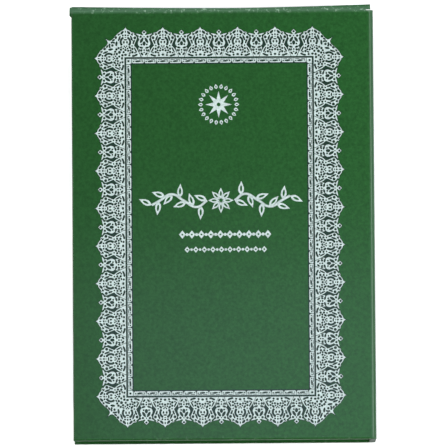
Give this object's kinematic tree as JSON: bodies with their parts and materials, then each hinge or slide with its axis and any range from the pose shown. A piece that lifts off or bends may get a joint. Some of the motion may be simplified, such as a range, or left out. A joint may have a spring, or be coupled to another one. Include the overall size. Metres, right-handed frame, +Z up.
{
  "type": "qibla compass",
  "caption": "Pocket qibla compass in a hinged book-form case: green wrapped boards with an arabesque border, a tray with a turning bezel compass, and a place booklet in the cover.",
  "frame": {"origin": "middle of the underside of the closed case", "axes": "+Z up out of the printed front cover, +Y towards the head of the cover, +X towards the spine"},
  "size_m": [0.07, 0.1, 0.0165],
  "materials": {
    "greyboard": "raw pressed greyboard, cut edges",
    "printed_wrap": "green printed paper with a satin varnish",
    "tray_paper": "dark green uncoated paper",
    "liner_paper": "cream laid paper",
    "deck_flock": "dark green flock",
    "brass": "turned, lightly lacquered",
    "steel": "bright steel",
    "green_enamel": "green enamel on brass sheet",
    "blued_steel": "heat-blued steel, one arm red",
    "jewel": "polished synthetic ruby",
    "lens_glass": "clear flat glass",
    "dial_enamel": "ivory enamel, printed",
    "nylon": "natural nylon",
    "booklet_card": "green card",
    "booklet_paper": "uncoated book paper"
  },
  "bodies": {
    "case": {"back_board": "greyboard", "back_wrap": "printed_wrap", "back_liner": "liner_paper", "tray_floor": "greyboard", "tray_wall_left": "greyboard", "tray_wall_right": "greyboard", "tray_wall_top": "greyboard", "tray_wall_bottom": "greyboard", "tray_wrap": "tray_paper", "deck_rail_left": "greyboard", "deck_rail_right": "greyboard", "deck_board": "greyboard", "deck_sheet": "deck_flock", "compass_cup": "brass", "flange_screws": "steel", "pivot_pin": "steel", "dial": "dial_enamel", "spacer_ring": "dial_enamel", "lens": "lens_glass", "lens_retainer": "steel", "friction_washer": "nylon", "setting_clip": "steel"},
    "setting_ring": {"setting_ring": "brass", "qibla_pointer": "green_enamel", "pointer_rivets": "steel"},
    "needle": {"needle_blade": "blued_steel", "needle_hub": "brass", "needle_jewel": "jewel", "balance_clip": "brass"},
    "spine": {"spine_board": "greyboard", "spine_liner": "liner_paper", "spine_wrap": "printed_wrap"},
    "cover": {"front_board": "greyboard", "front_wrap": "printed_wrap", "front_endpaper": "liner_paper", "index_pocket": "liner_paper", "booklet_cover": "booklet_card", "booklet_pages": "booklet_paper", "booklet_staples": "steel"}
  },
  "joints": [
    {"name": "spine_crease", "type": "hinge", "parent": "case", "child": "spine", "pos_m": [0.034, 0, 0.001], "axis": [0, 1, 0], "range_deg": [0, 90]},
    {"name": "cover_crease", "type": "hinge", "parent": "spine", "child": "cover", "pos_m": [0.034, 0, 0.0155], "axis": [0, 1, 0], "range_deg": [0, 90]},
    {"name": "ring_turn", "type": "hinge", "parent": "case", "child": "setting_ring", "pos_m": [-0.00035, 0.014, 0.0105], "axis": [0, 0, 1], "continuous": true},
    {"name": "needle_swing", "type": "hinge", "parent": "case", "child": "needle", "pos_m": [-0.00035, 0.014, 0.0072], "axis": [0, 0, 1], "continuous": true}
  ]
}
